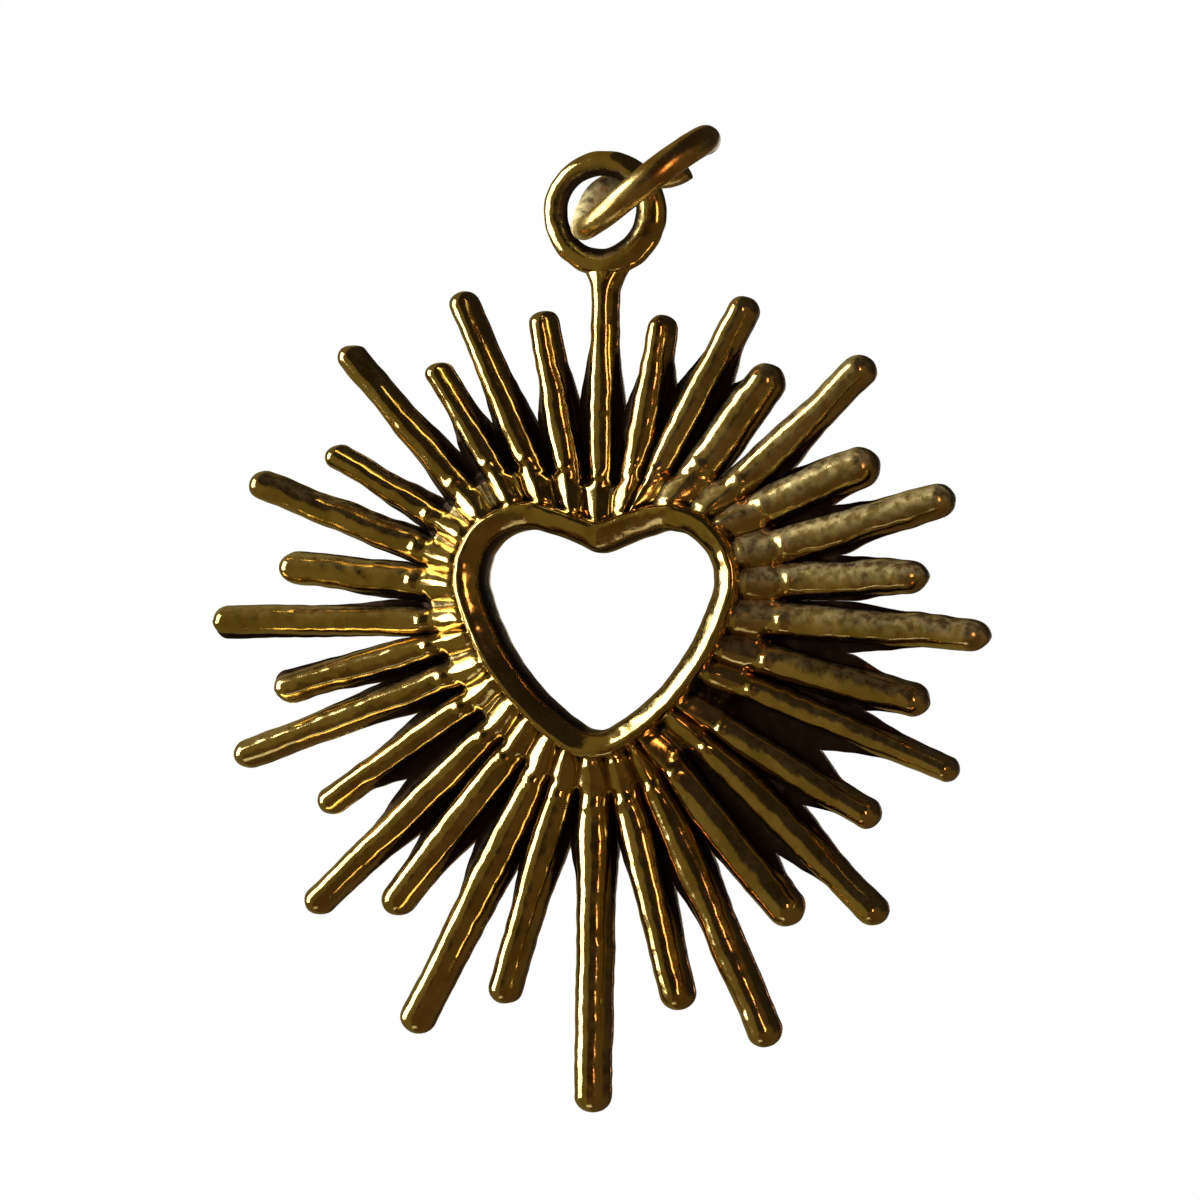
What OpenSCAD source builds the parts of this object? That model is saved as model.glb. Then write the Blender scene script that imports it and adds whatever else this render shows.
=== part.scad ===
// Sunburst heart charm: an open heart with a burst of cast rays, a stem with
// a hanging loop, and a split jump ring that the charm swings from.
// Upright, front towards -Y. The origin is the middle of the jump ring.

/* [Heart] */
// Width of the round bead that frames the heart opening
rim_w = 1.0; // [0.8:0.05:1.2]
// Height of the bead's crest over the flat back
rim_h = 2.2; // [1.9:0.05:2.6]
// Radius of each lobe's shallow top, beside the notch
crest_r = 7.85; // [7.4:0.05:8.3]
// Radius of each lobe's shoulder
shoulder_r = 1.7; // [1.5:0.05:1.9]
// Radius of the long curve from the shoulder to the tip
side_r = 8.4; // [8:0.1:9]
// How far the tops of the lobes stand over the middle of the burst
lobe_up = 3.9; // [3.6:0.1:4.2]
// How far the heart sits to the right of the stem's line
heart_shift = 0.15; // [0:0.05:0.3]

/* [Rays] */
// Reach of the longest ray, from the middle of the burst to its tip
burst_reach = 16.9; // [15.5:0.1:18]
// Width of a broad ray at its root
ray_w = 1.4; // [1.25:0.05:1.5]
// Thickness of a ray, from the flat back to its round crest
ray_t = 1.35; // [1.2:0.05:1.6]
// Width of the sloping collar, where the rays climb to the heart's bead
collar_w = 1.7; // [1.3:0.1:2.2]
// Height at which the rays meet the bead
collar_h = 1.85; // [1.7:0.05:2]
// Thickness of the webs that fill the forks between the rays
web_t = 0.6; // [0.4:0.05:0.8]

/* [Hanging] */
// Height of the hanging loop's middle over the middle of the burst
loop_up = 15.25; // [15:0.05:15.6]
// Diameter of the hole in the hanging loop
loop_hole_d = 2.5; // [2.4:0.02:2.8]
// Thickness of the hanging loop's round section
loop_wire = 0.98; // [0.8:0.02:1]
// Width of the stem
stem_w = 0.95; // [0.8:0.05:1.1]
// Thickness of the stem, from the flat back to its crest
stem_t = 1.05; // [0.95:0.05:1.2]
// Radius of the fillets that flare the stem into the loop
flare_r = 0.5; // [0.4:0.05:0.7]

/* [Jump ring] */
// Diameter across the outside of the jump ring
ring_d = 6.45; // [6.3:0.05:7]
// Thickness of the jump ring's wire
ring_wire = 1.06; // [0.9:0.02:1.08]
// Least clearance between the jump ring and the hanging loop
ring_gap = 0.27; // [0.15:0.01:0.3]
// Width of the split in the jump ring
split_w = 0.35; // [0.2:0.05:0.6]

/* [Hidden] */
// Turns of the heart's outline, in degrees: its rise out of the notch, then
// how far each arc turns
notch_rise = 31;
crest_sweep = 17;
shoulder_sweep = 120;
side_sweep = 42;
// Size of the bead's section along each arc, and how far each arc runs on past
// its ends, both as shares
swell_shares = [0.96, 0.98, 1, 1.04];
run_on_share = 0.06;

// The burst has one stem and its rays at even steps round the heart
ray_count = 31;
ray_step = 360 / (ray_count + 1);
// One row a ray, clockwise from the stem: degrees off its even place, reach
// as a share of the longest, degrees that it leans off the straight line from
// the middle, and its widths at root and tip as shares of ray_w
ray_shares = [
    [-0.5, 0.7, -2, 1.05, 0.7],
    [1, 0.79, 4, 0.85, 0.75],
    [-1, 0.69, 3, 1.1, 1],
    [-1, 0.83, 2, 1.05, 0.8],
    [0.5, 0.71, 10, 1.1, 1],
    [0, 0.82, 5.5, 1.1, 0.85],
    [-0.5, 0.72, 9, 1.1, 0.85],
    [-1.5, 0.84, 5, 1.05, 0.8],
    [-1.5, 0.72, 4, 1.05, 0.85],
    [-3.5, 0.82, 2.5, 0.85, 0.65],
    [-2.5, 0.71, -2, 1, 0.75],
    [-2, 0.85, 1, 0.95, 0.75],
    [-3, 0.73, -4, 1.1, 0.95],
    [-2, 0.93, -0.5, 1, 0.85],
    [-2.5, 0.8, -1, 1.05, 0.85],
    [0, 1, 0, 0.95, 0.9],
    [3.5, 0.8, 1, 1, 0.8],
    [3, 0.93, 1, 1.05, 0.85],
    [4, 0.74, 0, 1, 0.85],
    [2, 0.86, -1, 0.9, 0.75],
    [2.5, 0.71, -4, 0.8, 0.7],
    [4, 0.84, -2.5, 0.8, 0.75],
    [1.5, 0.72, -7, 0.9, 0.75],
    [2, 0.85, -2.5, 0.8, 0.75],
    [0.5, 0.72, -6.5, 0.95, 0.8],
    [0.5, 0.84, -3, 0.8, 0.75],
    [-0.5, 0.72, -3.5, 0.7, 0.65],
    [2, 0.84, 1, 0.85, 0.7],
    [1, 0.69, 0, 0.8, 0.65],
    [-1, 0.8, -1, 0.85, 0.7],
    [0, 0.71, -0.5, 0.95, 0.7],
];
// Reach of the fork between each spoke and the next, from the stem on, and the
// run of the webs past the forks, as shares of the longest ray's reach
fork_shares = [
    0.49, 0.56, 0.61, 0.43, 0.55, 0.57, 0.55, 0.55,
    0.54, 0.59, 0.53, 0.56, 0.59, 0.51, 0.54, 0.43,
    0.43, 0.5, 0.5, 0.56, 0.51, 0.42, 0.48, 0.38,
    0.46, 0.44, 0.45, 0.45, 0.49, 0.5, 0.47, 0.5
];
web_share = 0.13;
// Place of a web's end inside its ray's wall, as a share of half the width
sunk_share = 0.8;
// Radius of a crest over the widest part of its bar, so that the walls below
// it stay upright
crest_share = 1.06;
// Radius of the collar's flutes, as a share of the radius of the rays' crests
flute_share = 1.2;
// Depth inside the bead at which the grooves start, as a share of its width
start_share = 0.7;
// Reach of a cell past the longest ray, and overrun of cuts, both as shares
cell_share = 1.2;
overrun = ray_t / 4;

// Direction in which the jump ring leans out of the loop, and its place round
// the loop, in degrees up from +X
ring_lean = 36;
ring_seat = 28;
// Roll of the ring about its long direction, and the place of its split,
// turned back from that direction
ring_roll = 8;
split_turn = 56;

// Working values
ray_crest_r = crest_share * ray_w / 2;
stem_crest_r = crest_share * stem_w / 2;
// Share of the loop's section that the stem reaches into
bite_share = 0.3;
loop_wire_r = loop_wire / 2;
loop_r = (loop_hole_d + loop_wire) / 2;
loop_outer_r = loop_r + loop_wire_r;
wire_r = ring_wire / 2;
ring_r = ring_d / 2 - wire_r;
// The loop's near wall lies inside the ring and its far wall outside, both
// clear of the wire by ring_gap: that fixes the ring's place
near_r = ring_r - wire_r - loop_wire_r - ring_gap;
far_r = ring_r + wire_r + loop_wire_r + ring_gap;
ring_shift = (far_r * far_r - near_r * near_r) / (4 * loop_r) - loop_r;
ring_forward = sqrt(near_r * near_r - ring_shift * ring_shift);
ring_out = loop_r + ring_shift;
// Half the split, in degrees
split_half = asin(split_w / 2 / ring_r);

// Place of the burst's middle, and of the flat back
burst_x = -ring_out * cos(ring_seat);
burst_z = -ring_out * sin(ring_seat) - loop_up;
back_y = ring_forward + stem_t / 2;

function ray_name(i) = str("ray_", i < 10 ? "0" : "", i);

$fn = 48;

// The right half of the heart's outline, as four arcs that run on into each
// other. The last, at the tip, has the radius that brings it to the middle.
function arc_sweep(i) = [crest_sweep, shoulder_sweep, side_sweep,
    180 + notch_rise - crest_sweep - shoulder_sweep - side_sweep][i];
function heading(i) = i == 0 ? notch_rise : heading(i - 1) - arc_sweep(i - 1);
function right_of(turn) = [sin(turn), -cos(turn)];
function arc_r(i) = i < 3 ? [crest_r, shoulder_r, side_r][i]
    : -arc_start(3)[0] / sin(heading(3));
function arc_start(i) = i == 0 ? [0, 0]
    : arc_centre(i - 1) - arc_r(i - 1) * right_of(heading(i));
function arc_centre(i) = arc_start(i) + arc_r(i) * right_of(heading(i));
// Height of the notch, from the top of the lobe's shoulder
notch_up = lobe_up - arc_centre(1)[1] - shoulder_r;

// A point of the outline, moved out by grow, at a share of arc i's turn
function outline_at(i, share, grow) = [0, notch_up] + arc_centre(i)
    - (arc_r(i) + grow) * right_of(heading(i) - share * arc_sweep(i));
outline_steps = 6;
// Height of the notch of an outline moved out by grow
function notch_at(grow) = notch_up + arc_centre(0)[1]
    + sqrt(pow(crest_r + grow, 2) - pow(arc_centre(0)[0], 2));
// The whole outline, clockwise from its notch
function outline(grow) =
    let (right = [for (i = [0:3]) for (k = [0:outline_steps - 1])
        let (p = outline_at(i, k / outline_steps, grow)) if (p[0] > rim_w / 4) p])
    concat([[0, notch_at(grow)]], right, [[0, outline_at(3, 1, grow)[1]]],
        [for (k = [len(right) - 1:-1:0]) [-right[k][0], right[k][1]]]);

// A ray's direction, its point nearest the middle, and where it ends
function unit(turn) = [sin(turn), cos(turn)];
function ray_turn(i) = i % (ray_count + 1) == 0 ? 0
    : i * ray_step + ray_shares[i - 1][0];
function ray_aim(i) = i % (ray_count + 1) == 0 ? 0
    : ray_turn(i) + ray_shares[i - 1][2];
function ray_reach(i) = ray_shares[i - 1][1] * burst_reach;
function ray_tip(i) = ray_reach(i) * unit(ray_turn(i));
function ray_length(i) = ray_tip(i) * unit(ray_aim(i));
function ray_foot(i) = i % (ray_count + 1) == 0 ? [0, 0]
    : ray_tip(i) - ray_length(i) * unit(ray_aim(i));

// Half the width of a spoke at a distance along its line, and where its
// straight sides end
function spoke_end(i) = i % (ray_count + 1) == 0 ? loop_up
    : ray_length(i) - ray_shares[i - 1][4] * ray_w / 2;
function half_width(i, far) = i % (ray_count + 1) == 0 ? stem_w / 2
    : let (root = ray_shares[i - 1][3], tip = ray_shares[i - 1][4])
    (root + (tip - root) * far / ray_length(i)) * ray_w / 2;

// The groove between spoke i and the next: it runs between their two lines
function across(a, b) = a[0] * b[1] - a[1] * b[0];
function groove_aim(i) = (ray_aim(i) + ray_aim(i + 1)
    + (i == ray_count ? 360 : 0)) / 2;
function meeting(i) =
    let (a = unit(ray_aim(i)), b = unit(ray_aim(i + 1)),
         gap = ray_foot(i + 1) - ray_foot(i))
    ray_foot(i) + a * across(gap, b) / across(a, b);
function groove_at(i, reach) =
    let (aim = unit(groove_aim(i)), meet = meeting(i))
    meet + aim * (reach - meet * aim);

// Where spoke i crosses the bead's outer edge, measured along its line
function side_of(i, p) = across(unit(ray_aim(i)), p - ray_foot(i));
edge = [for (p = outline(rim_w)) p + [heart_shift, 0]];
function rim_reach(i) = i % (ray_count + 1) == 0 ? notch_at(rim_w)
    : max([for (k = [0:len(edge) - 1])
        let (a = edge[k], b = edge[(k + 1) % len(edge)],
             sa = side_of(i, a), sb = side_of(i, b))
        if (sa * sb <= 0 && sa != sb)
            (a + (b - a) * sa / (sa - sb) - ray_foot(i)) * unit(ray_aim(i))]);
function root_at(i) = ray_foot(i) + rim_reach(i) * unit(ray_aim(i));

// Where that groove begins, a share of the bead's width inside its outer edge
function groove_start(i) = groove_at(i,
    (root_at(i) + root_at(i + 1)) / 2 * unit(groove_aim(i)) - start_share * rim_w);

// Carries a shape from the charm's plan, back down, to its upright place
module upright() {
    translate([burst_x, back_y, burst_z]) rotate([90, 0, 0]) children();
}

// Lays a shape that runs along +X on a line of the plan, from the foot of a
// ray along its direction
module along(i) {
    translate([ray_foot(i)[0], ray_foot(i)[1], 0])
        rotate([0, 0, 90 - ray_aim(i)]) children();
}

// A shape from its right half
module both_sides() {
    children();
    mirror([1, 0, 0]) children();
}

// One arc of the heart, swept with its section and run on at both ends. The
// bead swells a little from arc to arc, from the notch down to the tip.
module arc_of(i, turn) {
    run_on = run_on_share * rim_w / arc_r(i) * 180 / PI;
    translate([arc_centre(i)[0], notch_up + arc_centre(i)[1], 0])
        rotate([0, 0, heading(i) + 90 - turn - run_on])
        rotate_extrude(angle = turn + 2 * run_on, $fn = 96)
        translate([arc_r(i) + rim_w / 2, 0]) scale(swell_shares[i]) children();
}

// Section of the heart's bead: upright walls under a round crest
module bead_section() {
    translate([-rim_w / 2, 0]) square([rim_w, rim_h - rim_w / 2]);
    translate([0, rim_h - rim_w / 2]) circle(d = rim_w);
}

// The whole heart, swept with the shape of its section. The lobes' tops meet
// in the notch, and the tip is one arc across the middle.
module heart_of() {
    translate([heart_shift, 0, 0]) {
        both_sides() {
            intersection() {
                arc_of(0, arc_sweep(0)) children();
                translate([0, 0, -rim_h])
                    cube([burst_reach, burst_reach, 3 * rim_h]);
            }
            arc_of(1, arc_sweep(1)) children();
            arc_of(2, arc_sweep(2)) children();
        }
        arc_of(3, 2 * arc_sweep(3)) children();
    }
}

// The whole heart with its opening filled, for cutting the ray roots
module heart_block() {
    block_h = rim_h + 3 * overrun;
    heart_of() translate([-rim_w / 2, -overrun]) square([rim_w, block_h]);
    translate([heart_shift, 0, -overrun]) linear_extrude(block_h)
        polygon(outline(rim_w / 2));
}

// The fork where spoke i and the next part, and the point just inside spoke i's
// wall, right or left, where the web beside it runs out, short of the tip
function fork(i) = groove_at(i, fork_shares[i] * burst_reach);
function right_side(i) = let (aim = unit(ray_aim(i))) [aim[1], -aim[0]];
function web_end(i, side, fork) =
    let (aim = unit(ray_aim(i)), past = (fork - ray_foot(i)) * aim,
         far = min(past + web_share * burst_reach, (past + spoke_end(i)) / 2))
    ray_foot(i) + far * aim + side * sunk_share * half_width(i, far) * right_side(i);

// Flat web round the root of spoke i, as far as its forks and a little past.
// Its plate runs on over both grooves, and the spoke's cell cuts it there.
module web(i) {
    before = i == 0 ? ray_count : i - 1;
    left_end = web_end(i, -1, fork(before));
    right_end = web_end(i, 1, fork(i));
    linear_extrude(web_t) polygon([
        groove_start(before) - ray_w * right_side(i),
        2 * fork(before) - left_end, left_end,
        right_end, 2 * fork(i) - right_end,
        groove_start(i) + ray_w * right_side(i)]);
}

// The wedge of the plan that spoke i has to itself, groove to groove
module cell(i) {
    before = i == 0 ? ray_count : i - 1;
    end = cell_share * burst_reach;
    translate([0, 0, -overrun]) linear_extrude(rim_h + 2 * overrun)
        polygon([groove_start(before), groove_at(before, end),
            groove_at(i, end), groove_start(i)]);
}

// Round crest over a bar of the given length: a rod, and the block under it.
// It starts at x = 0 and its top is at height zero.
module crest(length, r) {
    translate([0, 0, -r]) rotate([0, 90, 0]) cylinder(r = r, h = length);
    translate([0, -r, -r - rim_h]) cube([length + r, 2 * r, rim_h]);
}

// A ray's round crest: a level rod out to the round tip, and a broader rod that
// climbs over it from the kink in to the bead
module ray_crest(i) {
    kink = rim_reach(i) + collar_w;
    climb = atan((collar_h - ray_t) / collar_w);
    r = ray_crest_r * max(1, ray_shares[i - 1][3]);
    translate([0, 0, ray_t]) {
        crest(spoke_end(i), r);
        translate([spoke_end(i), 0, -r]) rotate([0, 90, 0]) sphere(r = r);
        translate([kink, 0, 0]) rotate([0, climb, 0])
            translate([-kink, 0, 0]) crest(kink + collar_w, flute_share * r);
    }
}

// Plan of a ray: straight sides that taper to a round end
module ray_plan(length, root_w, tip_w) {
    polygon([[0, -root_w / 2], [length - tip_w / 2, -tip_w / 2],
        [length - tip_w / 2, tip_w / 2], [0, root_w / 2]]);
    translate([length - tip_w / 2, 0]) circle(d = tip_w);
}

module ray(i) {
    shares = ray_shares[i - 1];
    color("darkgoldenrod") upright() difference() {
        intersection() {
            union() {
                along(i) intersection() {
                    linear_extrude(rim_h) ray_plan(
                        ray_length(i), shares[3] * ray_w, shares[4] * ray_w);
                    ray_crest(i);
                }
                web(i);
            }
            cell(i);
        }
        heart_block();
    }
}

module heart_rim() {
    color("goldenrod") upright() heart_of() bead_section();
}

module loop_body() {
    translate([0, loop_up, stem_t / 2]) rotate_extrude($fn = 64)
        translate([loop_r, 0]) circle(r = loop_wire_r);
}

module hanging_loop() {
    color("peru") upright() loop_body();
}

// Flare under the loop: what is left outside a round fillet on each side
module flare() {
    side = stem_w / 2 + flare_r;
    reach = loop_outer_r + flare_r;
    drop = sqrt(reach * reach - side * side);
    touch = loop_outer_r / reach;
    linear_extrude(stem_t - stem_crest_r / 2) difference() {
        polygon([[-side, loop_up - drop], [side, loop_up - drop],
            [side * touch, loop_up - drop * touch],
            [-side * touch, loop_up - drop * touch]]);
        both_sides() translate([side, loop_up - drop]) circle(r = flare_r);
    }
}

module stem() {
    end_r = loop_outer_r - bite_share * loop_wire;
    color("sienna") upright() difference() {
        union() {
            intersection() {
                union() {
                    rotate([0, 0, 90]) intersection() {
                        translate([0, -stem_w / 2, 0])
                            cube([loop_up, stem_w, stem_t]);
                        translate([0, 0, stem_t]) crest(loop_up, stem_crest_r);
                    }
                    web(0);
                }
                cell(0);
            }
            flare();
        }
        heart_block();
        translate([0, loop_up, -overrun]) cylinder(r = end_r, h = stem_t + 2 * overrun);
        loop_body();
    }
}

module jump_ring() {
    color("khaki") rotate([0, -ring_lean, 0]) rotate([ring_roll, 0, 0])
        rotate([0, 0, split_turn + split_half])
        rotate_extrude(angle = 360 - 2 * split_half, $fn = 96)
        translate([ring_r, 0]) circle(r = wire_r);
}

heart_rim();
stem();
hanging_loop();
jump_ring();
for (i = [1:ray_count])
    ray(i);
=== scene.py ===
# %% [markdown]
# # A sunburst heart charm in antique brass
# The real charm is one small casting, about 29 mm across: an open heart, a burst
# of ridges round it, a stem and a loop. A split ring of wire goes through the loop.
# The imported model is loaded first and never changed. Every piece made below takes
# the place of one of its nodes, in the same frame, in metres.

# %% Tools and the fixed frame
import math

import bmesh
import bpy
import numpy as np
from mathutils import Matrix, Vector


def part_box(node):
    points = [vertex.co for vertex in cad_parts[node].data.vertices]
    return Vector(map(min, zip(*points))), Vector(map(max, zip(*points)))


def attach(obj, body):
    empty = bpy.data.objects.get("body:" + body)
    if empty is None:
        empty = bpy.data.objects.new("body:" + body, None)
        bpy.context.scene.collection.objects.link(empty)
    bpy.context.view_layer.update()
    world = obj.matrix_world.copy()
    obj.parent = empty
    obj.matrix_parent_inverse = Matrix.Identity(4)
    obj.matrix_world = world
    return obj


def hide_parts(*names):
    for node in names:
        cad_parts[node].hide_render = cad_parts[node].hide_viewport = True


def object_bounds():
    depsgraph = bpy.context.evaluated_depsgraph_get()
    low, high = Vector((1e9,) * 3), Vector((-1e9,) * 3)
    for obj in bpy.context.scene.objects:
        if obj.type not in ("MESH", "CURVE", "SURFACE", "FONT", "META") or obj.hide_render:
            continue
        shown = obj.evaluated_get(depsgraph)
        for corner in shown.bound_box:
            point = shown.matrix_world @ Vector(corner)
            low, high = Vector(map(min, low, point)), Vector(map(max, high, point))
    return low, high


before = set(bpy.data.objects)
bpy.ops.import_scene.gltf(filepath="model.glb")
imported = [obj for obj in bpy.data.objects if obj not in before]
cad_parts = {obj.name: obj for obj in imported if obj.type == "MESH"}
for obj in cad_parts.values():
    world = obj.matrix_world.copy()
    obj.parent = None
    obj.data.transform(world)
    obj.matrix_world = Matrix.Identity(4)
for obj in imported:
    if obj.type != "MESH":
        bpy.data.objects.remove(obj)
cad_low, cad_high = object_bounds()
print("nodes:", len(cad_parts), "box from", tuple(cad_low), "to", tuple(cad_high))

# %% [markdown]
# ## The plan of the casting
# A flat-backed casting is easiest to draw from the front, like a coin. Each
# shape below is worked out in millimetres as x to the right, y up from the middle
# of the burst, and h out from the flat back. One function stands the plan upright.

# %% From plan to frame
MM = 0.001
loop_up = 15.25
loop_low, loop_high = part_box("hanging_loop")
middle_x = (loop_low.x + loop_high.x) / 2
middle_z = (loop_low.z + loop_high.z) / 2 - loop_up * MM
back_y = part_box("ray_16")[1].y


def upright(x, y, h):
    """X is the middle plus x, Y is the back minus h, Z is the middle plus y."""
    return np.stack([middle_x + x * MM, back_y - h * MM, middle_z + y * MM], axis=-1)


print("middle of the burst:", middle_x, middle_z, "flat back:", back_y)

# %% [markdown]
# ## The sizes
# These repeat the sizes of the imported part, in millimetres. The real charm's rays
# follow no rule, so each has a row of its own, measured and rounded. One row a ray,
# clockwise from the stem: degrees off its even place, reach as a share of the
# longest ray, degrees of lean, and its widths at root and tip as shares of a broad
# ray's width. The second list is the reach of each fork between two spokes.

# %% Sizes and the table of rays
burst_reach = 16.9
ray_w = 1.4
ray_t = 1.35
collar_w = 1.7
collar_h = 1.85
web_t = 0.6
web_share = 0.13
stem_w = 0.95
stem_t = 1.05
rim_w = 1.0
rim_h = 2.2
heart_shift = 0.15
ray_shares = np.array([
    [-0.5, 0.7, -2, 1.05, 0.7],
    [1, 0.79, 4, 0.85, 0.75],
    [-1, 0.69, 3, 1.1, 1],
    [-1, 0.83, 2, 1.05, 0.8],
    [0.5, 0.71, 10, 1.1, 1],
    [0, 0.82, 5.5, 1.1, 0.85],
    [-0.5, 0.72, 9, 1.1, 0.85],
    [-1.5, 0.84, 5, 1.05, 0.8],
    [-1.5, 0.72, 4, 1.05, 0.85],
    [-3.5, 0.82, 2.5, 0.85, 0.65],
    [-2.5, 0.71, -2, 1, 0.75],
    [-2, 0.85, 1, 0.95, 0.75],
    [-3, 0.73, -4, 1.1, 0.95],
    [-2, 0.93, -0.5, 1, 0.85],
    [-2.5, 0.8, -1, 1.05, 0.85],
    [0, 1, 0, 0.95, 0.9],
    [3.5, 0.8, 1, 1, 0.8],
    [3, 0.93, 1, 1.05, 0.85],
    [4, 0.74, 0, 1, 0.85],
    [2, 0.86, -1, 0.9, 0.75],
    [2.5, 0.71, -4, 0.8, 0.7],
    [4, 0.84, -2.5, 0.8, 0.75],
    [1.5, 0.72, -7, 0.9, 0.75],
    [2, 0.85, -2.5, 0.8, 0.75],
    [0.5, 0.72, -6.5, 0.95, 0.8],
    [0.5, 0.84, -3, 0.8, 0.75],
    [-0.5, 0.72, -3.5, 0.7, 0.65],
    [2, 0.84, 1, 0.85, 0.7],
    [1, 0.69, 0, 0.8, 0.65],
    [-1, 0.8, -1, 0.85, 0.7],
    [0, 0.71, -0.5, 0.95, 0.7],
])
fork_shares = np.array([
    0.49, 0.56, 0.61, 0.43, 0.55, 0.57, 0.55, 0.55,
    0.54, 0.59, 0.53, 0.56, 0.59, 0.51, 0.54, 0.43,
    0.43, 0.5, 0.5, 0.56, 0.51, 0.42, 0.48, 0.38,
    0.46, 0.44, 0.45, 0.45, 0.49, 0.5, 0.47, 0.5,
])
spokes = len(ray_shares) + 1
print("spokes, the stem first:", spokes)

# %% [markdown]
# ## Lines of the burst
# Each spoke has a straight middle line, given by its foot and its direction. The
# groove between two neighbours halves the angle between their lines, and the
# fork is the place on that groove where the metal ends.

# %% Spoke lines, grooves and forks


def unit(turn):
    """Direction turned clockwise from straight up: sine to the right, cosine up."""
    return np.stack([np.sin(np.radians(turn)), np.cos(np.radians(turn))], axis=-1)


def across(a, b):
    """Cross product of two plan directions, as one number a pair."""
    return a[..., 0] * b[..., 1] - a[..., 1] * b[..., 0]


place = np.arange(spokes) * 360 / spokes
spoke_turn = place + np.append(0, ray_shares[:, 0])
spoke_aim = spoke_turn + np.append(0, ray_shares[:, 2])
spoke_tip = np.append(loop_up, ray_shares[:, 1] * burst_reach)[:, None] * unit(spoke_turn)
ahead = unit(spoke_aim)
rightward = np.stack([ahead[:, 1], -ahead[:, 0]], axis=-1)
spoke_length = (spoke_tip * ahead).sum(1)
foot = spoke_tip - spoke_length[:, None] * ahead
root_w = np.append(stem_w, ray_shares[:, 3] * ray_w)
tip_w = np.append(stem_w, ray_shares[:, 4] * ray_w)

next_aim = np.append(spoke_aim[1:], spoke_aim[0] + 360)
groove = unit((spoke_aim + next_aim) / 2)
next_foot = np.roll(foot, -1, axis=0)
next_ahead = np.roll(ahead, -1, axis=0)
run = across(next_foot - foot, next_ahead) / across(ahead, next_ahead)
meeting = foot + run[:, None] * ahead
fork_run = fork_shares * burst_reach - (meeting * groove).sum(1)
fork = meeting + fork_run[:, None] * groove
print("longest ray:", spoke_length.max(), "shortest:", spoke_length[1:].min())

# %% [markdown]
# ## The heart's outline
# Half of the outline is four arcs that run on into each other: the shallow top
# beside the notch, the shoulder, the long side, and the tip. Moving the outline
# out only makes each radius larger, so one function gives every line of the bead,
# from its inner edge to its outer one. The other half is its mirror image.

# %% Outline of the heart
lobe_up = 3.9
crest_r = 7.85
shoulder_r = 1.7
side_r = 8.4
notch_rise = 31
arc_sweep = [17, 120, 42]
arc_heading = np.append(notch_rise - np.cumsum([0, *arc_sweep]), -180)


def right_of(heading):
    """Direction to the right of a heading, in degrees up from level: sine, minus cosine."""
    return np.stack([np.sin(np.radians(heading)), -np.cos(np.radians(heading))], axis=-1)


def joined_arcs(radii, heading):
    """Centres and radii of arcs that run on into each other, from the middle line on.
    Two arcs share their heading where they meet, so the next centre lies the
    difference of their radii to the right of it. The last arc's centre is on the
    middle line, which gives its radius."""
    centres = [radii[0] * right_of(heading[0])]
    for k in range(1, len(radii)):
        centres.append(centres[-1] - (radii[k - 1] - radii[k]) * right_of(heading[k]))
    turned = right_of(heading[len(radii)])
    tip_start = centres[-1] - radii[-1] * turned
    tip_r = -tip_start[0] / turned[0]
    centres.append(tip_start + tip_r * turned)
    return np.array(centres), np.append(radii, tip_r)


arc_centre, arc_r = joined_arcs([crest_r, shoulder_r, side_r], arc_heading)
arc_centre[:, 1] += lobe_up - shoulder_r - arc_centre[1, 1]
print("radius of the heart's tip:", arc_r[3])


def outline(share, grow):
    """Point of the right half at a share of its length, moved out by grow. In arc i
    the point is the centre minus (radius + grow) times the direction to the right of
    a heading that turns evenly from the arc's first to its last. The first arc
    starts where it meets the middle line: sine = centre / (radius + grow)."""
    arc_share = np.array([0.24, 0.34, 0.3, 0.12])
    edges = np.append(0, np.cumsum(arc_share))
    i = np.clip(np.searchsorted(edges, share, side="right") - 1, 0, 3)
    part = np.clip((share - edges[i]) / arc_share[i], 0, 1)
    notch = np.degrees(np.arcsin(arc_centre[0, 0] / (arc_r[0] + grow)))
    start = np.where(i == 0, notch, arc_heading[i])
    turned = right_of(start + (arc_heading[i + 1] - start) * part)
    point = arc_centre[i] - (arc_r[i] + grow)[..., None] * turned
    return np.maximum(point[..., 0], 0), point[..., 1]


def heart_line(turn_share, grow):
    """Whole outline: shares 0 to 0.5 run down the right half, and 0.5 to 1 come back
    up the left half, where x changes sign. All of it is shifted to the right."""
    left = turn_share > 0.5
    x, y = outline(np.where(left, 2 - 2 * turn_share, 2 * turn_share), grow)
    return np.where(left, -x, x) + heart_shift, y


edge_x, edge_y = heart_line(np.linspace(0, 1, 400, endpoint=False), rim_w)
rim_edge = np.stack([edge_x, edge_y], axis=-1)
print("heart, outer edge: wide", np.ptp(edge_x), "high", np.ptp(edge_y))

# %% [markdown]
# ## The hand of the caster
# A sand or wax casting is never quite straight: its edges wander and its skin
# is a little lumpy. A few sine waves in fixed directions, added up, give such a
# field. It depends only on where a point is, so two neighbouring pieces move alike
# and their seams stay closed.

# %% Uneven skin of the casting
slow_move = 0.018
fast_move = 0.01
slow_rise = 0.012
fast_rise = 0.004


def lumps(x, y, size, seed):
    """Sum of 9 sine waves of about the given size in mm, each along its own
    direction with its own phase, divided by the root of their number."""
    chance = np.random.default_rng(seed)
    total = np.zeros_like(x)
    for turn, length, phase in chance.uniform([0, 0.7, 0], [6.28, 1.5, 6.28], (9, 3)):
        wave = (x * math.cos(turn) + y * math.sin(turn)) / (size * length)
        total += np.sin(6.28 * wave + phase)
    return total / 3


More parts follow.
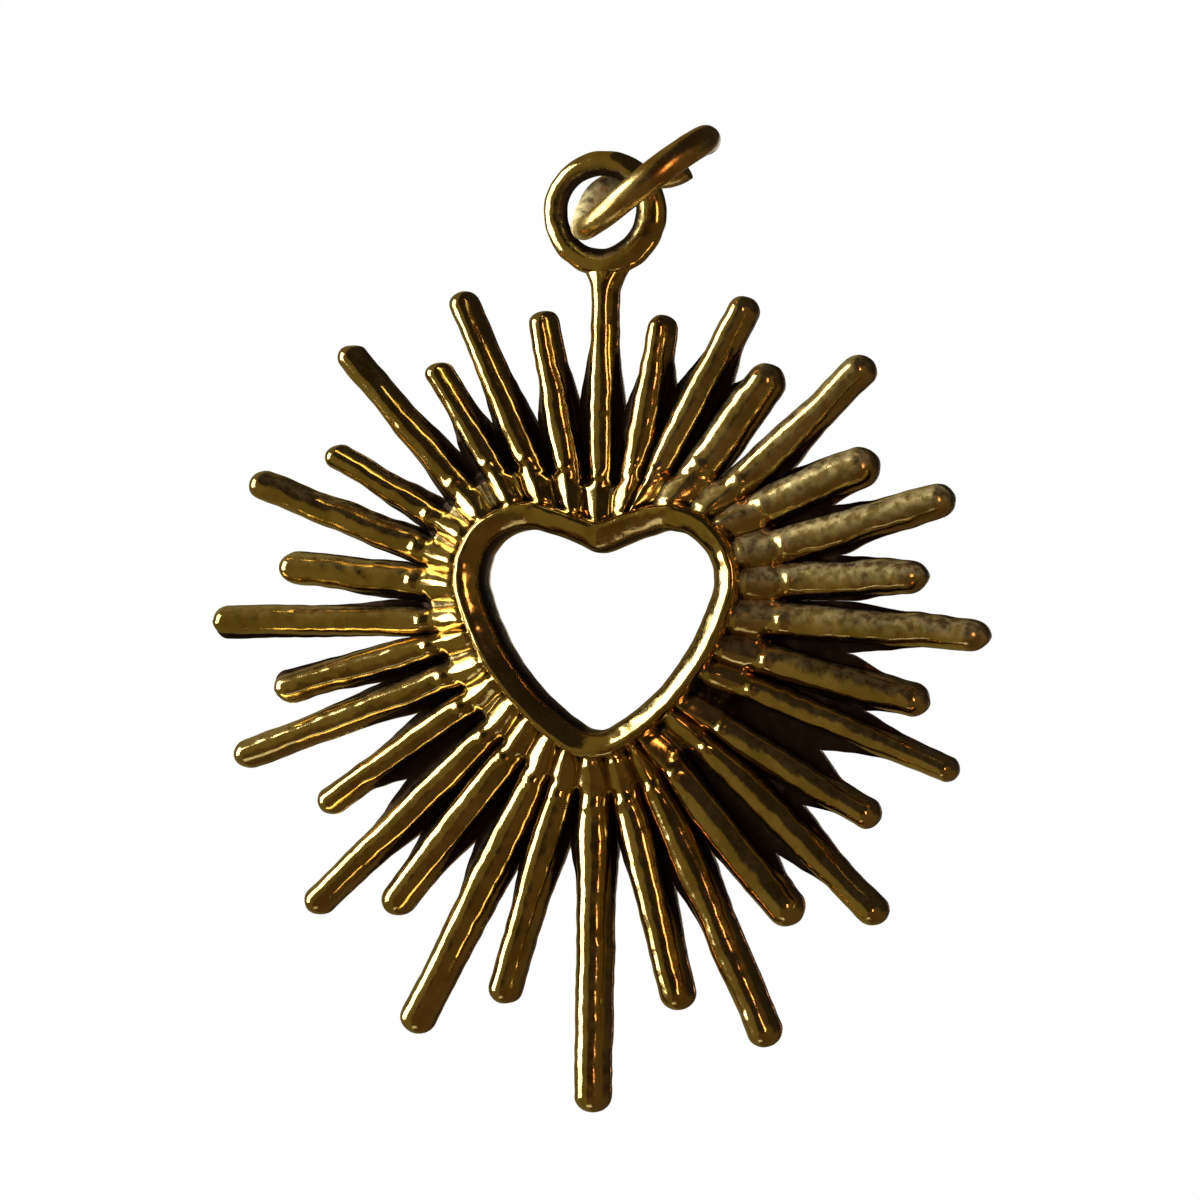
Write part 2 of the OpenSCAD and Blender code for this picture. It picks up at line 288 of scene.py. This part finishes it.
def cast(x, y, h):
    """Plan points moved as the casting wandered: sideways by lumps of 2.6 and 0.7 mm,
    and up or down by lumps of 1.9 and 0.6 mm, but the flat back hardly at all."""
    front = np.clip(h / 0.4, 0, 1)
    dx = slow_move * lumps(x, y, 2.6, 1) + fast_move * lumps(x, y, 0.7, 2)
    dy = slow_move * lumps(x, y, 2.6, 3) + fast_move * lumps(x, y, 0.7, 4)
    dh = slow_rise * lumps(x, y, 1.9, 5) + fast_rise * lumps(x, y, 0.6, 6)
    return x + dx, y + dy, h + dh * (0.2 + 0.8 * front)


print("skin moves sideways by about", round(slow_move + fast_move, 3), "mm")

# %% [markdown]
# ## From grid to mesh
# Each piece is a skin of rings, one ring after another along its path. Where a
# ring has shrunk to a point or a line, its doubled points are merged, which
# closes the end. Two values of each point go into the mesh as attributes: the
# crevice value, so that the finish can lie darker in the grooves, and a second
# value, which says where a painted pale reflection is laid on the metal.

# %% Skin a piece with rings


def skin(name, rings, crevice, painted_sheen=0.0, loop_round=False):
    """Joins points k and k + 1 of each ring to the same points of the next ring."""
    rows, count = rings.shape[:2]
    index = np.arange(rows * count).reshape(rows, count)
    here = index if loop_round else index[:-1]
    there = np.roll(index, -1, axis=0) if loop_round else index[1:]
    corners = [here, np.roll(here, -1, axis=1), np.roll(there, -1, axis=1), there]
    faces = np.stack(corners, axis=-1).reshape(-1, 4)
    mesh = bpy.data.meshes.new(name)
    mesh.vertices.add(rows * count)
    mesh.vertices.foreach_set("co", rings.astype(np.float32).ravel())
    mesh.loops.add(faces.size)
    mesh.loops.foreach_set("vertex_index", faces.astype(np.int32).ravel())
    mesh.polygons.add(len(faces))
    mesh.polygons.foreach_set("loop_start", np.arange(0, faces.size, 4, dtype=np.int32))
    mesh.update(calc_edges=True)
    # The second attribute holds where the painted pale reflection goes.
    for label, values in (("crevice", crevice), ("painted_sheen", painted_sheen + 0 * crevice)):
        value = mesh.attributes.new(label, "FLOAT", "POINT")
        value.data.foreach_set("value", values.astype(np.float32).ravel())
    work = bmesh.new()
    work.from_mesh(mesh)
    bmesh.ops.remove_doubles(work, verts=work.verts, dist=1e-7)
    bmesh.ops.recalc_face_normals(work, faces=work.faces)
    for face in work.faces:
        face.smooth = True
    work.to_mesh(mesh)
    work.free()
    mesh.set_sharp_from_angle(angle=math.radians(50))
    piece = bpy.data.objects.new(name, mesh)
    bpy.context.scene.collection.objects.link(piece)
    return piece


print("ready to skin")

# %% [markdown]
# ## One spoke of the burst
# A ray is a round-topped ridge on a thin web. It could be a stretched cylinder,
# but then it would not meet its neighbours. Here each ring is the whole section
# of the spoke's own wedge of metal: over the ridge, across the web to the groove
# that it shares with its neighbour, down the side, and along the flat back.
# Past the fork the web runs out, and the ridge goes on alone to its round tip.

# %% Widths along a spoke


def soft_least(a, b, blend=0.07):
    """The smaller of two values, rounded where they cross, by a soft minimum."""
    return (a + b - np.sqrt((a - b) ** 2 + blend ** 2)) / 2


def ridge_half(i, s):
    """Half width of the ridge at distance s, straight from root width to tip width."""
    share = np.clip(s / spoke_length[i], 0, 1)
    return (root_w[i] + (tip_w[i] - root_w[i]) * share) / 2


def groove_side(i, side, s):
    """How far across the groove on one side runs: it is a straight line, so its
    distance grows evenly with s from where it meets the spoke's own line."""
    k = i if side > 0 else (i - 1) % spokes
    start = meeting[k] - foot[i]
    slope = groove[k] @ rightward[i] / (groove[k] @ ahead[i])
    return side * (start @ rightward[i] + (s - start @ ahead[i]) * slope)


def web_side(i, side, s):
    """Edge of the web past the fork: a straight line from the fork to the ridge."""
    k = i if side > 0 else (i - 1) % spokes
    fork_s = (fork[k] - foot[i]) @ ahead[i]
    fork_v = side * (fork[k] - foot[i]) @ rightward[i]
    straight_end = spoke_length[i] - tip_w[i] / 2
    end_s = min(fork_s + web_share * burst_reach, (fork_s + straight_end) / 2)
    end_v = ridge_half(i, end_s)
    return fork_v + (s - fork_s) * (end_v - fork_v) / (end_s - fork_s)


def rim_along(i, v):
    """Distance along the spoke at which a line beside it, at v, leaves the bead: the
    farthest crossing with the bead's outer edge, each found by a straight share."""
    local = rim_edge - foot[i]
    s, w = local @ ahead[i], local @ rightward[i]
    s2, w2 = np.roll(s, -1), np.roll(w, -1)
    v = np.asarray(v)[..., None]
    share = (v - w) / np.where(w2 == w, 1e-9, w2 - w)
    hit = (share >= 0) & (share <= 1)
    return np.where(hit, s + (s2 - s) * share, -9).max(-1)


print("stem leaves the bead at", rim_along(0, 0.0))

# %% Section of a spoke
ridge_steps = np.sin(np.linspace(0, np.pi / 2, 15))
web_steps = np.linspace(0, 1, 8)[1:]
wall_steps = np.array([0.3, 0.6, 0.85, 1])


def half_columns():
    """Steps from the crest to the bottom of a side: place on the ridge, on the web
    and down the wall, one entry a column."""
    ridge = np.append(ridge_steps, np.ones(len(web_steps) + len(wall_steps)))
    web = np.concatenate([0 * ridge_steps, web_steps, np.ones(len(wall_steps))])
    wall = np.append(np.zeros(len(ridge_steps) + len(web_steps)), wall_steps)
    return ridge, web, wall


def ring_columns():
    """The half section on the right, the back from right to left, and the left half
    section from the bottom up. Side is 1 on the right and -1 on the left."""
    ridge, web, wall = half_columns()
    back = np.linspace(1, -1, 9)[1:-1]
    right, left = np.ones(len(ridge)), np.ones(len(ridge) - 1)
    side = np.concatenate([right, np.where(back < 0, -1, 1), -left])
    inward = np.concatenate([right, np.abs(back), left])
    whole = [
        np.concatenate([part, np.ones(len(back)), part[:0:-1]])
        for part in (ridge, web, wall)
    ]
    return side, inward, *whole


column_side, column_in, column_ridge, column_web, column_wall = ring_columns()
least_web = 0.012
least_half = 0.05
wall_tuck = 0.06
print("points in a ring:", len(column_side))


def place_across(i, s):
    """Across distance of each column at distance s, with the ridge's half width and
    how far a web stands beside it. Columns of the ridge share out its width, columns
    of the web share out what is left up to the groove or the web's edge, and the last
    column of a wall is tucked in a little."""
    half = ridge_half(i, s)
    sides = []
    for side in (1, -1):
        limit = groove_side(i, side, s)
        free = -soft_least(-half - least_web, -web_side(i, side, s))
        edge = soft_least(limit, free, 0.03)
        rib = soft_least(half, 1.06 * limit, 0.05)
        sides.append((np.maximum(edge, least_half), np.maximum(rib, least_half)))
    right, left = sides
    edge = np.where(column_side > 0, right[0], left[0])
    rib = np.where(column_side > 0, right[1], left[1])
    top = np.minimum(rib, edge - least_web)
    v = top * column_ridge + (edge - top) * column_web
    tuck = wall_tuck * (column_wall == 1)
    webbed = np.clip((edge - rib) / 0.2, 0, 1)
    return column_side * column_in * (v - tuck), rib, webbed


def ridge_top(q):
    """Round crest: the root of one minus q to the power 2.4, from 1 on the crest to
    0.06 at the ridge's foot, then a small fillet that dies out on the web."""
    fillet = 0.06
    crest = fillet + (1 - fillet) * np.sqrt(np.clip(1 - np.abs(q) ** 2.4, 0, 1))
    return np.where(np.abs(q) < 1, crest, fillet * np.exp(-(np.abs(q) - 1) * 7))


print("a ridge's section from crest to foot:", ridge_top(np.linspace(0, 1, 5)).round(2))

# %% Rings of a spoke
root_depth = 0.6
drawn_rays = (7, 8)
knob_h = 0.11
gutter_h = 0.1
foot_h = 0.2
gable_share = 0.8


def spoke_grid(i, rows):
    """Distance s along spoke i and v across it, share q of the ridge's half width, and
    the web's share, for every point. Rings run evenly from inside the bead to where
    the tip starts. The tip is half an ellipse: s grows with the sine of a turn and v
    shrinks with its cosine. On the two drawn-out rays it is 1.5 times as long."""
    reach = tip_w[i] / 2 * (1.5 if i in drawn_rays else 1)
    straight_end = spoke_length[i] - reach
    ones = np.ones(len(column_side))
    root = rim_along(i, 0.0) * ones - root_depth
    for _ in range(6):
        root = rim_along(i, place_across(i, root)[0]) - root_depth
    s = root + (straight_end - root) * np.linspace(0, 1, rows)[:, None]
    v, rib, webbed = place_across(i, s)
    q = np.abs(v) / rib
    round_turn = np.linspace(0, np.pi / 2, 12)[1:, None]
    tip_s = straight_end + reach * np.sin(round_turn) * ones
    tip_v = v[-1] * np.cos(round_turn)
    tip_q = np.hypot(q[-1] * np.cos(round_turn), np.sin(round_turn) * ones)
    webbed = np.vstack([webbed, webbed[-1] + 0 * tip_s])
    return np.vstack([s, tip_s]), np.vstack([v, tip_v]), np.vstack([q, tip_q]), webbed


def spoke_rings(i, top_h, rows):
    """Points of spoke i in the plan and their heights and crevice values, ring by ring.
    The crest climbs to the bead as a hollow curve: a share of the collar's width to
    the power 1.6, with a small knob where it starts. There the round section turns
    into a gable: one minus q to the power 1.5. A gutter, a bell curve, runs along the
    bead. The crevice value is high where the section is low."""
    s, v, q, webbed = spoke_grid(i, rows)
    from_rim = s - rim_along(i, v)
    x = (rim_along(i, 0.0) + collar_w - s) / collar_w
    climb = np.minimum(0.03 * np.logaddexp(0, x / 0.03), 1)
    knob = knob_h * np.exp(-((x / 0.09) ** 2) - (q / 0.6) ** 2)
    crest_h = top_h + (collar_h - ray_t) * climb ** 1.6 + knob
    gutter = gutter_h * np.exp(-(((from_rim - 0.02) / 0.14) ** 2))
    inner = np.clip((collar_w - 0.1 - from_rim) / 0.5, 0, 1)
    inner = inner * inner * (3 - 2 * inner)
    web_h = web_t + (0.25 + 0.45 * climb) * inner
    base_h = foot_h + (web_h - foot_h) * np.maximum(webbed, inner)
    gable = 1 - 0.94 * np.minimum(q, 1) ** 1.5
    rise = ridge_top(q) * (1 - gable_share * inner) + gable * gable_share * inner
    front = base_h + (crest_h - base_h) * rise - gutter
    h = front * (1 - column_wall)
    crevice = 1.25 * np.clip(1.15 - rise, 0, 1) ** 1.3 * (0.5 + 0.5 * webbed)
    crevice = crevice * (1 - 0.35 * inner) + 4 * gutter
    crevice = np.where(column_wall > 0, 0.5, crevice)
    plan = foot[i] + s[..., None] * ahead[i] + v[..., None] * rightward[i]
    return plan[..., 0], plan[..., 1], h, crevice, s


def close_start(x, y, h, crevice):
    """Adds a first ring that has shrunk to the middle of the next one."""
    parts = [np.vstack([a[:1].mean() * np.ones_like(a[:1]), a]) for a in (x, y, h)]
    return *parts, np.vstack([crevice[:1], crevice])


print("the stem starts", root_depth, "mm inside the bead")


# %% [markdown]
# ## Thirty-one rays
# Every ray is the same function with its own row of the table, and two of them end
# in a drawn-out tip. The level rays carry a painted pale reflection, mostly on their
# upper sides, which face the light. Each piece replaces its own node of the imported
# part and rides on the charm's body.

# %% Make the rays
sheen_from = 0.7


def paint_ray_sheen(i, x, y, h):
    """Painted pale reflection on a ray's points, where its upper side faces the light:
    the square of how level the ray runs, times a share that grows evenly towards its
    upper side, and nothing below the crest. On the right it falls off on the rays that
    point down, and on the left it is 0.6 of that."""
    on_right = ahead[i][0] > 0
    above = (np.stack([x, y], axis=-1) - foot[i]) @ rightward[i] * rightward[i][1]
    sheen_strength = np.clip(0.8 + 2.5 * ahead[i][1], 0.1, 1) if on_right else 0.6
    edge = np.clip((0.5 if on_right else -0.1) + 1.4 * above, 0, 1)
    return sheen_strength * ahead[i][0] ** 2 * edge * (h > sheen_from)


casting = []
for i in range(1, spokes):
    x, y, h, crevice, _ = spoke_rings(i, ray_t, 110)
    x, y, h, crevice = close_start(x, y, h, crevice)
    # Painted pale reflection on the upper sides of the level rays.
    painted_sheen = paint_ray_sheen(i, x, y, h)
    piece = skin(f"cast_ray_{i:02d}", upright(*cast(x, y, h)), crevice, painted_sheen)
    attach(piece, "charm")
    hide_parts(f"ray_{i:02d}")
    casting.append(piece)
print("rays:", len(casting), "faces in one:", len(casting[0].data.polygons))

# %% [markdown]
# ## The stem
# The stem takes the place of the top ray. It is narrower and lower, and flares
# where it runs into the loop. The same section function makes it, but it ends
# inside the loop's round wire instead of in a tip of its own.

# %% Make the stem
loop_r = 1.74
loop_wire_r = 0.49
flare_from = 12.2
slope_from = 12.4
stem_end = loop_up - loop_r + 0.1
x, y, h, crevice, s = spoke_rings(0, stem_t, 120)
x = x * (1 + 0.5 * np.clip((s - flare_from) / 0.9, 0, 1.2) ** 2)
h = h * (1 - 0.3 * np.clip((s - slope_from) / 1.1, 0, 1) ** 2)
past_end = s > stem_end
x = np.where(past_end, 0, x)
y = np.where(past_end, stem_end, y)
h = np.where(past_end, stem_t / 2, h)
x, y, h, crevice = close_start(x, y, h, crevice)
stem_piece = skin("cast_stem", upright(*cast(x, y, h)), crevice)
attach(stem_piece, "charm")
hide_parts("stem")
casting.append(stem_piece)
print("stem faces:", len(stem_piece.data.polygons))

# %% [markdown]
# ## The heart's bead
# The bead is a round-topped wall swept along the heart. The outline function
# already gives any line of it, so one direction of the grid goes round the heart
# and the other round the section, from the inner edge over the top and back
# along the flat underside. The top is a few listed points, given as a share of
# the width and a drop below the crest, and a bell-shaped running mean rounds them.

# %% Make the bead
notch_round = 0.22
round_share = np.linspace(0, 1, 420, endpoint=False)[:, None]
bell = np.hanning(17)[1:-1] / np.hanning(17).sum()


def rounded(line):
    """A line's points, joined by straight lines and rounded by a bell-shaped mean."""
    fine = np.interp(np.linspace(0, len(line) - 1, 56), range(len(line)), line)
    return np.convolve(np.pad(fine, len(bell) // 2, mode="edge"), bell, "valid")


top_grow = np.array([0, 0.02, 0.1, 0.24, 0.4, 0.54, 0.66, 0.76, 0.86, 0.94, 0.99, 1])
top_drop = np.array([1.2, 0.66, 0.48, 0.34, 0.2, 0.09, 0.03, 0, 0.05, 0.18, 0.4, 0.7])
under_grow = np.array([1, 1, 0.95, 0.6, 0.3, 0.05, 0, 0])
under_lift = np.array([1, 0.4, 0, 0, 0, 0, 0.3, 0.6])
top_grow, top_drop = rounded(top_grow), rounded(top_drop)
grow = np.append(top_grow, under_grow)
lift = np.append(rim_h - top_drop, under_lift)
x, y = heart_line(round_share + 0 * grow, rim_w * grow + 0 * round_share)
h = lift + 0 * x
# The sharp corner in the notch is filled: y grows by 0.6 times the root of the sum
# of the squares of beside and notch_round, less beside, which dies out sideways.
beside = np.abs(x - heart_shift)
y = y + 0.6 * (np.hypot(beside, notch_round) - beside) * (y > 0)
edge_dark = np.clip(top_drop / 0.6 - 0.2, 0, 0.9)
crevice = np.append(edge_dark, np.full(len(under_grow), 0.5)) + 0 * x
bead = skin("cast_heart_rim", upright(*cast(x, y, h)), crevice, loop_round=True)
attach(bead, "charm")
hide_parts("heart_rim")
casting.append(bead)
print("bead faces:", len(bead.data.polygons))

# %% [markdown]
# ## The hanging loop
# The loop is a round ring that was cast with the rest, so it is not quite
# round and its wire is thicker on the right. A torus formula whose wire slowly
# changes gives that: where the wire is thicker, its middle lies further in.

# %% Make the hanging loop
turn = np.linspace(0, 2 * np.pi, 160, endpoint=False)[:, None]
around = np.linspace(0, 2 * np.pi, 40, endpoint=False)
uneven = 0.14
wire = loop_wire_r * (0.97 + uneven * np.cos(turn + 0.3))
loop_edge = loop_r + loop_wire_r + 0.01
out = loop_edge - wire + wire * np.cos(around)
x = out * np.cos(turn)
y = loop_up + out * np.sin(turn)
h = stem_t / 2 + wire * np.sin(around)
crevice = np.clip(0.4 - 0.7 * np.cos(around), 0, 1.1) + 0 * x
loop = skin("cast_loop", upright(*cast(x, y, h)), crevice, loop_round=True)
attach(loop, "charm")
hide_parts("hanging_loop")
casting.append(loop)
print("loop faces:", len(loop.data.polygons))

# %% [markdown]
# ## The jump ring
# The ring was opened with pliers and never quite closed: its two ends pass each
# other sideways. It is a circle in its own leaning plane, pushed along the
# plane's normal by a few given amounts, and one end runs out straight. The wire
# was drawn thinner at the far bend, and a pale reflection is painted on it there.

# %% Make the jump ring
ring_r = 2.695
wire_r = 0.53
lean = math.radians(36)
roll = math.radians(8)
ring_long = np.array([math.cos(lean), 0, math.sin(lean)])
ring_wide = np.array([
    -math.sin(roll) * math.sin(lean),
    math.cos(roll),
    math.sin(roll) * math.cos(lean),
])
ring_normal = np.cross(ring_long, ring_wide)
straight_until = np.radians(84)
ring_turn = np.radians(np.linspace(66, 412, 220))
key_turns = np.radians([66, 80, 93, 104, 115, 137, 159, 181, 203, 240, 300, 375, 412])
key_push = [-0.25, -0.2, 0.15, 0.58, 0.88, 0.92, 0.46, 0.1, -0.06, -0.14, 0, 0, 0.22]
push = np.interp(ring_turn, key_turns, key_push)
push = np.convolve(np.pad(push, 6, mode="edge"), np.ones(13) / 13, mode="valid")
bend = np.maximum(ring_turn, straight_until)
outward = np.cos(bend)[:, None] * ring_long + np.sin(bend)[:, None] * ring_wide
straight = np.sin(bend[0]) * ring_long - np.cos(bend[0]) * ring_wide
centre_line = ring_r * (outward + (bend - ring_turn)[:, None] * straight)
centre_line = centre_line + push[:, None] * ring_normal
spin = np.cos(around)[:, None] * outward[:, None, :] + np.sin(around)[:, None] * ring_normal
thin = np.interp(ring_turn, np.radians([66, 115, 150, 200, 290]), [0.9, 0.74, 0.7, 0.78, 1])
rings = centre_line[:, None, :] + wire_r * thin[:, None, None] * spin
rings = np.concatenate([
    np.repeat(rings[:1].mean(1, keepdims=True), len(around), axis=1),
    rings,
    np.repeat(rings[-1:].mean(1, keepdims=True), len(around), axis=1),
])
crevice = np.full(rings.shape[:2], 0.15)
# Painted pale reflection along the far bend of the wire, as paler, duller metal.
painted_bend_reflection = 2.5 * np.interp(np.arange(len(rings)), [25, 45, 75, 95], [0, 1, 1, 0])[:, None]
jump_ring = skin("wire_jump_ring", rings * MM, crevice, painted_sheen=painted_bend_reflection)
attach(jump_ring, "jump_ring")
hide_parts("jump_ring")
print("jump ring faces:", len(jump_ring.data.polygons))

# %% [markdown]
# ## The finish
# Antique brass is polished on the high places and nearly black in the low ones.
# The crevice attribute says where the low places are, and noise breaks up its
# border. Bright metal is a metallic surface, and the dark film is mixed over it
# with a rougher, darker colour. A painted pale reflection, broken up by noise, is
# paler, duller and less metallic.

# %% Helpers for materials
# Pale colour of the painted reflection.
sheen_colour = (0.75, 0.64, 0.32)


def add(tree, kind, **settings):
    """Adds a node and sets its properties and its inputs by name."""
    node = tree.nodes.new(kind)
    for key, value in settings.items():
        if key in node.inputs:
            node.inputs[key].default_value = value
        else:
            setattr(node, key, value)
    return node


def speckle(tree, scale, detail=3.0):
    """Noise on Object coordinates, with features of about one metre over scale."""
    where = add(tree, "ShaderNodeTexCoord")
    noise = add(tree, "ShaderNodeTexNoise", Scale=scale, Detail=detail)
    tree.links.new(where.outputs["Object"], noise.inputs["Vector"])
    return noise.outputs["Fac"]


def spread(tree, value, low, high, to_low=0.0, to_high=1.0):
    """Smooth map of one range of numbers to another."""
    node = add(tree, "ShaderNodeMapRange", interpolation_type="SMOOTHSTEP")
    node.inputs["From Min"].default_value = low
    node.inputs["From Max"].default_value = high
    node.inputs["To Min"].default_value = to_low
    node.inputs["To Max"].default_value = to_high
    tree.links.new(value, node.inputs["Value"])
    return node.outputs["Result"]


def reckon(tree, operation, a, b):
    """One step of arithmetic on two values, either of which may be a number."""
    node = add(tree, "ShaderNodeMath", operation=operation)
    for socket, value in zip(node.inputs, (a, b)):
        if isinstance(value, (int, float)):
            socket.default_value = value
        else:
            tree.links.new(value, socket)
    return node.outputs[0]


def blend_colour(tree, share, first, second):
    """Mix of two colours by a share, each a colour or a socket."""
    node = add(tree, "ShaderNodeMix", data_type="RGBA")
    tree.links.new(share, node.inputs["Factor"])
    for socket, value in zip((node.inputs[6], node.inputs[7]), (first, second)):
        if isinstance(value, tuple):
            socket.default_value = (*value, 1)
        else:
            tree.links.new(value, socket)
    return node.outputs[2]


def brass(name, clean, tarnish, film, dullness):
    """Brass with tarnish in patches, a dark film where the crevice value is high, and
    a painted pale reflection, in pale, dull spots, where the painted reflection value is
    high."""
    material = bpy.data.materials.new(name)
    material.use_nodes = True
    tree = material.node_tree
    shader = tree.nodes["Principled BSDF"]
    low_place = add(tree, "ShaderNodeAttribute", attribute_name="crevice").outputs["Fac"]
    # Where a pale reflection is painted, broken up below by speckle.
    sheen_place = add(tree, "ShaderNodeAttribute", attribute_name="painted_sheen").outputs["Fac"]
    patches = spread(tree, speckle(tree, 900), 0.42, 0.62)
    grain = speckle(tree, 5200, 4.0)
    ragged = reckon(tree, "ADD", low_place, reckon(tree, "MULTIPLY", grain, 0.5))
    film_share = spread(tree, ragged, 0.7, 1.1)
    sheen_speckle = spread(tree, speckle(tree, 3200, 6.0), 0.35, 0.65, 0.25, 1)
    sheen_share = reckon(tree, "MULTIPLY", sheen_place, sheen_speckle)
    metal = blend_colour(tree, patches, clean, tarnish)
    metal = blend_colour(tree, sheen_share, metal, sheen_colour)
    colour = blend_colour(tree, film_share, metal, film)
    tree.links.new(colour, shader.inputs["Base Color"])
    dull = reckon(tree, "MULTIPLY", reckon(tree, "ADD", film_share, sheen_share), 0.3)
    rough = reckon(tree, "ADD", dull, spread(tree, grain, 0.3, 0.7, 0.09, 0.17))
    rough = reckon(tree, "ADD", rough, dullness)
    tree.links.new(rough, shader.inputs["Roughness"])
    shine = reckon(tree, "SUBTRACT", 1.0, reckon(tree, "MULTIPLY", sheen_share, 0.4))
    tree.links.new(shine, shader.inputs["Metallic"])
    pits = add(tree, "ShaderNodeBump", Strength=0.7, Distance=0.000012)
    tree.links.new(speckle(tree, 3800, 5.0), pits.inputs["Height"])
    tree.links.new(pits.outputs["Normal"], shader.inputs["Normal"])
    return material


antique = brass("antique_brass_cast", (0.66, 0.49, 0.19), (0.5, 0.36, 0.12),
                (0.03, 0.018, 0.012), 0.0)
ring_finish = brass("brass_wire", (0.68, 0.51, 0.2), (0.5, 0.3, 0.09),
                    (0.1, 0.05, 0.02), 0.12)
for piece in casting:
    piece.data.materials.append(antique)
jump_ring.data.materials.append(ring_finish)
print("finishes:", antique.name, ring_finish.name)

# %% [markdown]
# ## Floor and light
# The charm hangs over a plain pale floor. One large soft lamp on the left gives
# each ridge its bright flank, and a small orange one on the right its warm glints.
# The world is a white room for the camera, and what
# the brass mirrors of it is white straight behind the charm, olive on the left,
# nearly black in front, and brown below that and on the far right.

# %% Floor
floor_mesh = bpy.data.meshes.new("pale_floor")
floor_z = cad_low.z - 0.16
floor_half = 0.035
corners = [(floor_half * sx, floor_half * sy)
           for sx, sy in ((-1, -1), (1, -1), (1, 1), (-1, 1))]
floor_mesh.from_pydata([(cx, cy, floor_z) for cx, cy in corners], [], [(0, 1, 2, 3)])
floor = bpy.data.objects.new("pale_floor", floor_mesh)
bpy.context.scene.collection.objects.link(floor)
floor_paint = bpy.data.materials.new("pale_floor_paint")
floor_paint.use_nodes = True
paint = floor_paint.node_tree.nodes["Principled BSDF"]
paint.inputs["Base Color"].default_value = (0.85, 0.85, 0.84, 1)
paint.inputs["Roughness"].default_value = 0.9
floor_mesh.materials.append(floor_paint)
print("floor at", floor_z)

# %% Lamps


def soft_lamp(name, direction, distance, size, power, colour):
    """Rectangular lamp at a distance from the heart, turned to face it."""
    lamp = bpy.data.lights.new(name, "AREA")
    lamp.shape = "RECTANGLE"
    lamp.size, lamp.size_y = size
    lamp.energy = power
    lamp.color = colour
    holder = bpy.data.objects.new(name, lamp)
    bpy.context.scene.collection.objects.link(holder)
    aim = np.array(direction) / np.linalg.norm(direction)
    spot = np.array([middle_x, 0, middle_z]) + aim * distance
    holder.location = spot.tolist()
    holder.rotation_mode = "QUATERNION"
    look = holder.location.copy()
    look.x, look.y, look.z = aim.tolist()
    holder.rotation_quaternion = look.to_track_quat("Z", "Y")
    return holder


lamps = [
    soft_lamp("left_lamp", (-1, -0.32, 0.25), 0.3, (0.26, 0.34), 1.8, (1, 0.98, 0.92)),
    soft_lamp("right_lamp", (0.82, -0.57, 0.15), 0.35, (0.045, 0.14), 0.18, (1, 0.45, 0.2)),
]
print("lamps:", len(lamps))

# %% World
world = bpy.data.worlds.new("white_room")
bpy.context.scene.world = world
world.use_nodes = True
tree = world.node_tree
tree.nodes.clear()
direction = add(tree, "ShaderNodeTexCoord")
apart = add(tree, "ShaderNodeSeparateXYZ")
tree.links.new(direction.outputs["Generated"], apart.inputs[0])
behind = spread(tree, apart.outputs["Y"], 0.985, 0.997)
dim_part = spread(tree, apart.outputs["X"], -0.22, -0.1)
high_part = spread(tree, apart.outputs["Z"], -0.3, 0.05)
brown_part = spread(tree, apart.outputs["X"], 0.78, 0.95)
low_brown = (0.095, 0.058, 0.018)
near_black = (0.022, 0.016, 0.009)
olive = (0.17, 0.13, 0.04)
far_brown = (0.1, 0.065, 0.02)
dim = blend_colour(tree, high_part, low_brown, near_black)
front = blend_colour(tree, dim_part, olive, dim)
front = blend_colour(tree, brown_part, front, far_brown)
room = blend_colour(tree, behind, front, (1, 1, 1))
path = add(tree, "ShaderNodeLightPath")
mirrored = reckon(tree, "MAXIMUM", path.outputs["Is Glossy Ray"],
                  path.outputs["Is Transmission Ray"])
lit = blend_colour(tree, mirrored, (0.4, 0.4, 0.4), room)
seen = blend_colour(tree, path.outputs["Is Camera Ray"], lit, (1, 1, 1))
backdrop = add(tree, "ShaderNodeBackground", Strength=1.0)
tree.links.new(seen, backdrop.inputs["Color"])
output = add(tree, "ShaderNodeOutputWorld")
tree.links.new(backdrop.outputs[0], output.inputs[0])
bpy.context.scene.view_settings.view_transform = "Standard"
print("world:", world.name)

# %% [markdown]
# ## The camera
# The photograph was taken level with the charm, a little from its right, and
# the charm hangs turned by about one degree, so the camera is rolled by that.

# %% Camera
azimuth = math.radians(14)
tilt = math.radians(0.9)
level_right = np.array([math.cos(azimuth), math.sin(azimuth), 0])
back = np.array([math.sin(azimuth), -math.cos(azimuth), 0])
up = np.array([0, 0, 1.0])
camera_right = math.cos(tilt) * level_right + math.sin(tilt) * up
camera_up = math.cos(tilt) * up - math.sin(tilt) * level_right
aim_right = 0.05
aim_up = 1.43
camera_distance = 0.25
target = upright(0.0, 0.0, 0.6) + MM * (aim_right * level_right + aim_up * up)
spot = target + camera_distance * back
camera_data = bpy.data.cameras.new("camera")
camera_data.sensor_width = 36
camera_data.lens = 210
camera_data.clip_start = 0.01
camera_data.clip_end = 5
camera = bpy.data.objects.new("camera", camera_data)
bpy.context.scene.collection.objects.link(camera)
rows = [[camera_right[k], camera_up[k], back[k], spot[k]] for k in range(3)]
camera.matrix_world = Matrix([*rows, [0, 0, 0, 1]])
bpy.context.scene.camera = camera
print("camera at", spot)
